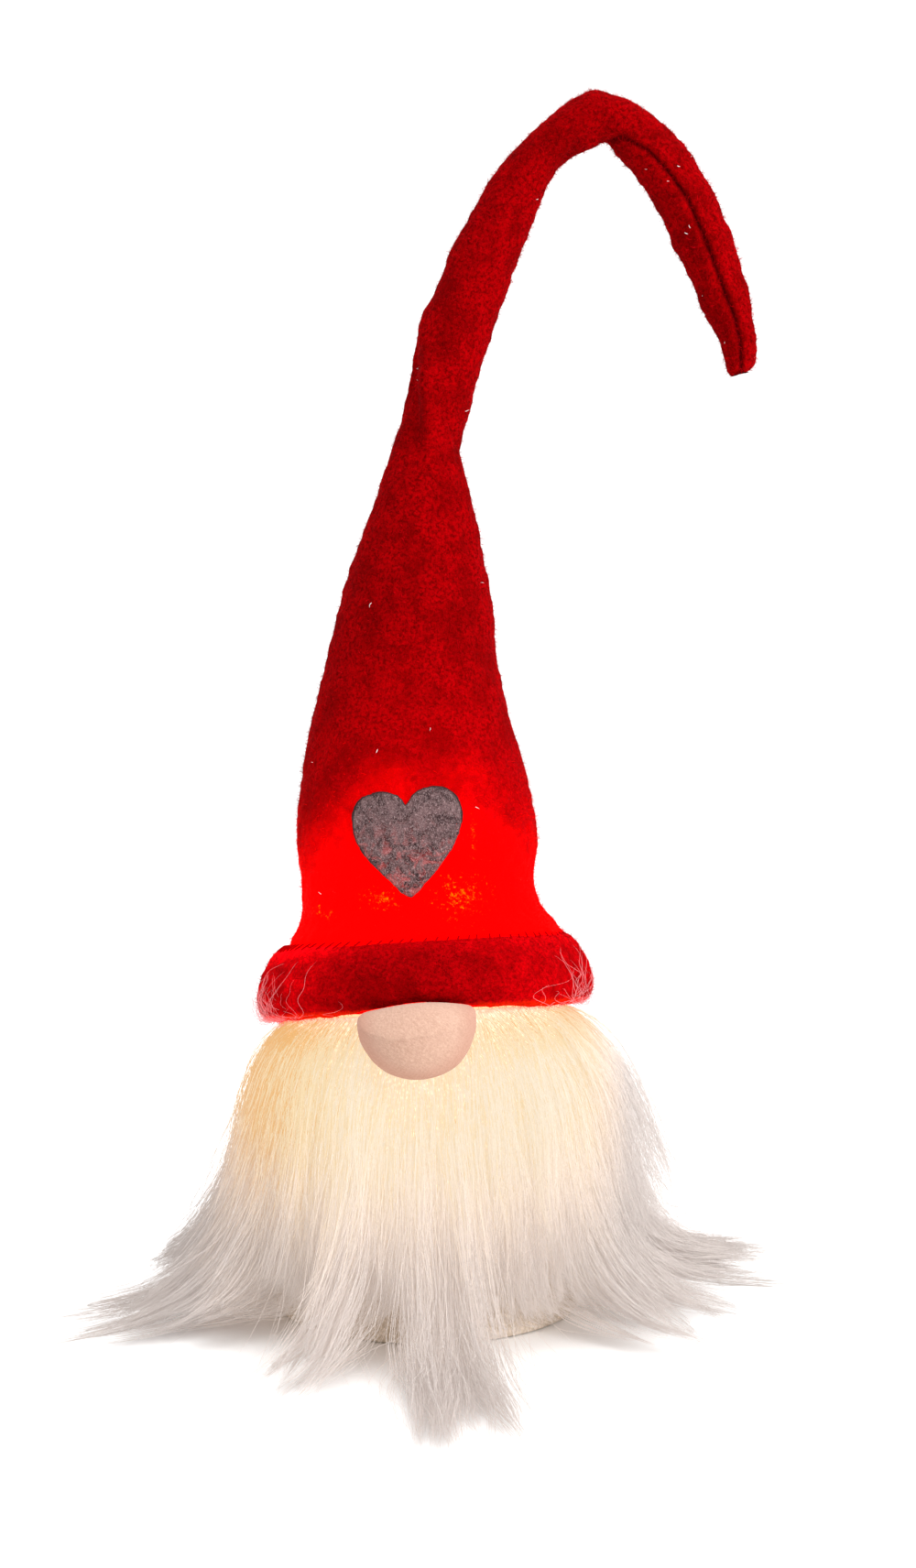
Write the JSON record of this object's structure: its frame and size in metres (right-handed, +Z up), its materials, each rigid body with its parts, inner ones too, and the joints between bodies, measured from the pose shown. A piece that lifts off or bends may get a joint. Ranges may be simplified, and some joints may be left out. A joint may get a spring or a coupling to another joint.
{
  "type": "lit felt gnome figurine",
  "caption": "Battery-lit folk gnome: long-pile beard over a translucent lamp body, stuffed nose, and a tall red felt hat on a bendable wire with a grey heart.",
  "frame": {"origin": "centre of the foot ring, on the surface that the figure stands on", "axes": "+Z up, the face looks along -Y, +X to the right as seen from the front"},
  "size_m": [0.2659, 0.2566, 0.4481],
  "materials": {
    "red_felt": "pressed wool felt with a fuzzy surface",
    "grey_felt": "mottled grey pressed felt",
    "white_pile": "long soft acrylic pile",
    "pile_backing": "knitted polyester backing",
    "nose_cloth": "fine brushed cloth",
    "filling": "loose polyester fibre",
    "lamp_plastic": "milky translucent",
    "white_plastic": "fine moulded texture",
    "black_plastic": "moulded",
    "foam": "closed-cell foam, non-slip",
    "steel_wire": "annealed",
    "zinc_screw": "zinc plated",
    "nickel_sheet": "nickel plated",
    "cell_jacket": "printed sleeve",
    "board": "solder mask",
    "led_lens": "clear lens, lit warm white",
    "lead_sleeve": "flexible insulation"
  },
  "bodies": {
    "root": {"foot_ring": "foam", "base_tub": "white_plastic", "base_lid": "white_plastic", "lid_screws": "zinc_screw", "battery_cell_1": "cell_jacket", "battery_cell_2": "cell_jacket", "battery_cell_3": "cell_jacket", "battery_contacts": "nickel_sheet", "switch_body": "black_plastic", "power_leads": "lead_sleeve", "circuit_board": "board", "board_screws": "zinc_screw", "leds": "led_lens", "timer_chip": "black_plastic", "resistors": "black_plastic", "light_shield": "white_plastic", "lamp_body": "lamp_plastic", "wire_socket": "lamp_plastic", "fur_backing": "pile_backing", "beard_fur": "white_pile", "back_fur": "white_pile", "nose_cover": "nose_cloth", "nose_filling": "filling", "brim_cuff": "red_felt", "heart_patch": "grey_felt", "hat_cone": "red_felt", "stuffing_cone": "filling", "hat_wire_low": "steel_wire"},
    "hat_tail": {"hat_mid": "red_felt", "stuffing_mid": "filling", "hat_wire_mid": "steel_wire"},
    "hat_end": {"hat_tip": "red_felt", "stuffing_tip": "filling", "hat_wire_tip": "steel_wire"},
    "door": {"battery_door": "white_plastic"},
    "switch": {"switch_slider": "black_plastic"}
  },
  "joints": [
    {"name": "neck_bend", "type": "hinge", "parent": "root", "child": "hat_tail", "pos_m": [0.0005, 0.013, 0.322], "axis": [0, 1, 0], "range_deg": [-40, 40]},
    {"name": "crook_bend", "type": "hinge", "parent": "hat_tail", "child": "hat_end", "pos_m": [0.064, 0.004, 0.4385], "axis": [0, 1, 0], "range_deg": [-85, 20]},
    {"name": "battery_door_hinge", "type": "hinge", "parent": "root", "child": "door", "pos_m": [-0.0281, 0, 0.0029], "axis": [0, 1, 0], "range_deg": [0, 80]},
    {"name": "switch_slide", "type": "slide", "parent": "root", "child": "switch", "axis": [1, 0, 0], "range_m": [0, 0.004]}
  ]
}
